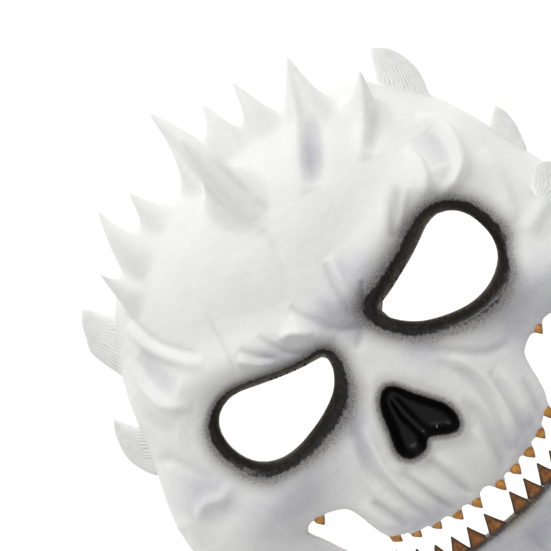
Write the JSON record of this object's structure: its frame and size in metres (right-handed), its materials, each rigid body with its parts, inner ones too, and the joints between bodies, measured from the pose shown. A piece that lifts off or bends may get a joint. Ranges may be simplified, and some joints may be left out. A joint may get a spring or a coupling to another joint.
{
  "type": "horned skull mask",
  "caption": "Full-face moulded skull mask, open at the back, with slanted eye holes, a nose recess, a toothed grin, a crest of short horns and side fins.",
  "frame": {"origin": "middle of the mask's bounding box on the plane of its rim, which is the surface that it rests on", "axes": "+Z out of the face, +Y toward the crown and its horns, +X to the right as the mask faces the viewer"},
  "size_m": [0.2234, 0.2556, 0.1111],
  "materials": {
    "bone_white_skin": "matt moulded latex, white with grey airbrush and black painted eye rims",
    "fin_skin": "matt moulded latex with fine grooves",
    "amber_tooth": "amber paint with brown tips, semi-gloss",
    "brown_tooth": "dark brown paint with grey-green edges, semi-gloss"
  },
  "bodies": {
    "root": {"fin_left_middle": "fin_skin", "fin_left_upper": "fin_skin", "fin_right_lower": "fin_skin", "fin_right_middle": "fin_skin", "fin_right_upper": "fin_skin", "skull_shell": "bone_white_skin", "tooth_corner_left_1": "amber_tooth", "tooth_corner_right_1": "amber_tooth", "tooth_lower_left_1": "brown_tooth", "tooth_lower_left_2": "brown_tooth", "tooth_lower_left_3": "brown_tooth", "tooth_lower_left_4": "brown_tooth", "tooth_lower_left_5": "brown_tooth", "tooth_lower_left_6": "brown_tooth", "tooth_lower_right_1": "brown_tooth", "tooth_lower_right_2": "brown_tooth", "tooth_lower_right_3": "brown_tooth", "tooth_lower_right_4": "brown_tooth", "tooth_lower_right_5": "brown_tooth", "tooth_lower_right_6": "brown_tooth", "tooth_upper_left_1": "amber_tooth", "tooth_upper_left_2": "amber_tooth", "tooth_upper_left_3": "amber_tooth", "tooth_upper_left_4": "amber_tooth", "tooth_upper_left_5": "amber_tooth", "tooth_upper_right_1": "amber_tooth", "tooth_upper_right_2": "amber_tooth", "tooth_upper_right_3": "amber_tooth", "tooth_upper_right_4": "amber_tooth", "tooth_upper_right_5": "amber_tooth"}
  },
  "joints": []
}
